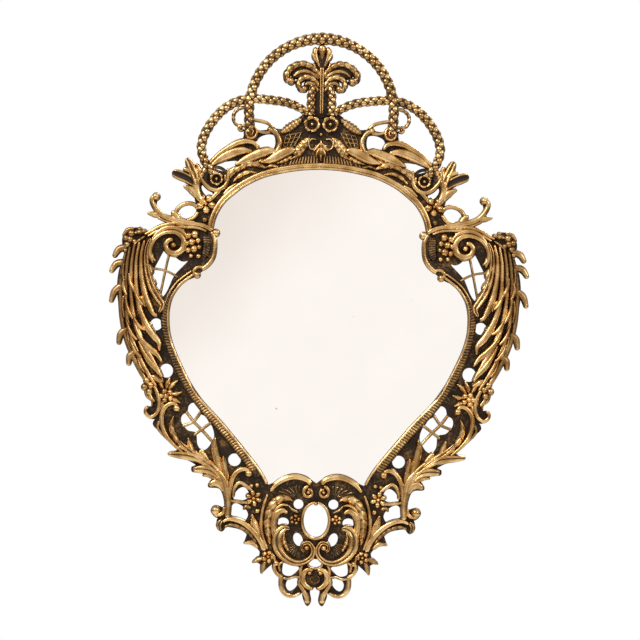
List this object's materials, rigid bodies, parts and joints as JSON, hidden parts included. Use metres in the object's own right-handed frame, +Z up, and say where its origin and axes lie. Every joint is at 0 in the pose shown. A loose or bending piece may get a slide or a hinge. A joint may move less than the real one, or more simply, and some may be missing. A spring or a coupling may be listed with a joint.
{
  "type": "ornate wall mirror",
  "caption": "Ornate cast-brass wall mirror: a pierced rococo frame of scrolls, leaves and rope arches round a pear-shaped glass, hung by a keyhole plate.",
  "frame": {"origin": "centre of the keyhole in the hanger plate, on its wall side", "axes": "+Z up, the glass faces -Y, +X to the right seen from the front"},
  "size_m": [0.4436, 0.024, 0.6065],
  "materials": {
    "antique_brass": "cast brass, bright on the high spots, near-black patina in the hollows",
    "looking_glass": "silvered 3 mm float glass",
    "felt": "thin black felt",
    "backing_board": "brown hardboard",
    "sheet_brass": "rolled sheet brass, dulled",
    "fixing_steel": "zinc-plated steel",
    "pad_felt": "grey-brown felt pad"
  },
  "bodies": {
    "root": {"backing_board": "backing_board", "cartouche_casting": "antique_brass", "cartouche_scrolls": "antique_brass", "centre_rope_arch": "antique_brass", "crest_casting": "antique_brass", "crest_rosettes": "antique_brass", "felt_sheet": "felt", "hanger_plate": "fixing_steel", "hanger_screws": "fixing_steel", "left_crest_leaves": "antique_brass", "left_foot_splice": "sheet_brass", "left_lower_acanthus": "antique_brass", "left_rope_arch": "antique_brass", "left_shoulder_sprig": "antique_brass", "left_upper_acanthus": "antique_brass", "left_waist_splice": "sheet_brass", "left_wing_casting": "antique_brass", "left_wing_scrolls": "antique_brass", "mirror_glass": "looking_glass", "palmette": "antique_brass", "right_crest_leaves": "antique_brass", "right_foot_splice": "sheet_brass", "right_lower_acanthus": "antique_brass", "right_rope_arch": "antique_brass", "right_shoulder_sprig": "antique_brass", "right_upper_acanthus": "antique_brass", "right_waist_splice": "sheet_brass", "right_wing_casting": "antique_brass", "right_wing_scrolls": "antique_brass", "splice_screws": "fixing_steel", "turn_button_screws": "fixing_steel", "volute_rosettes": "antique_brass", "wall_pads": "pad_felt"},
    "right_top_button": {"right_top_turn_button": "sheet_brass"},
    "right_side_button": {"right_side_turn_button": "sheet_brass"},
    "right_low_button": {"right_low_turn_button": "sheet_brass"},
    "right_foot_button": {"right_foot_turn_button": "sheet_brass"},
    "left_top_button": {"left_top_turn_button": "sheet_brass"},
    "left_side_button": {"left_side_turn_button": "sheet_brass"},
    "left_low_button": {"left_low_turn_button": "sheet_brass"},
    "left_foot_button": {"left_foot_turn_button": "sheet_brass"}
  },
  "joints": [
    {"name": "right_top_button_turn", "type": "hinge", "parent": "root", "child": "right_top_button", "pos_m": [0.047, -0.0009, -0.011], "axis": [0, 1, 0], "continuous": true},
    {"name": "right_side_button_turn", "type": "hinge", "parent": "root", "child": "right_side_button", "pos_m": [0.171, -0.0009, -0.169], "axis": [0, 1, 0], "continuous": true},
    {"name": "right_low_button_turn", "type": "hinge", "parent": "root", "child": "right_low_button", "pos_m": [0.146, -0.0009, -0.26], "axis": [0, 1, 0], "continuous": true},
    {"name": "right_foot_button_turn", "type": "hinge", "parent": "root", "child": "right_foot_button", "pos_m": [0.074, -0.0009, -0.345], "axis": [0, 1, 0], "continuous": true},
    {"name": "left_top_button_turn", "type": "hinge", "parent": "root", "child": "left_top_button", "pos_m": [-0.047, -0.0009, -0.011], "axis": [0, 1, 0], "continuous": true},
    {"name": "left_side_button_turn", "type": "hinge", "parent": "root", "child": "left_side_button", "pos_m": [-0.171, -0.0009, -0.169], "axis": [0, 1, 0], "continuous": true},
    {"name": "left_low_button_turn", "type": "hinge", "parent": "root", "child": "left_low_button", "pos_m": [-0.146, -0.0009, -0.26], "axis": [0, 1, 0], "continuous": true},
    {"name": "left_foot_button_turn", "type": "hinge", "parent": "root", "child": "left_foot_button", "pos_m": [-0.074, -0.0009, -0.345], "axis": [0, 1, 0], "continuous": true}
  ]
}
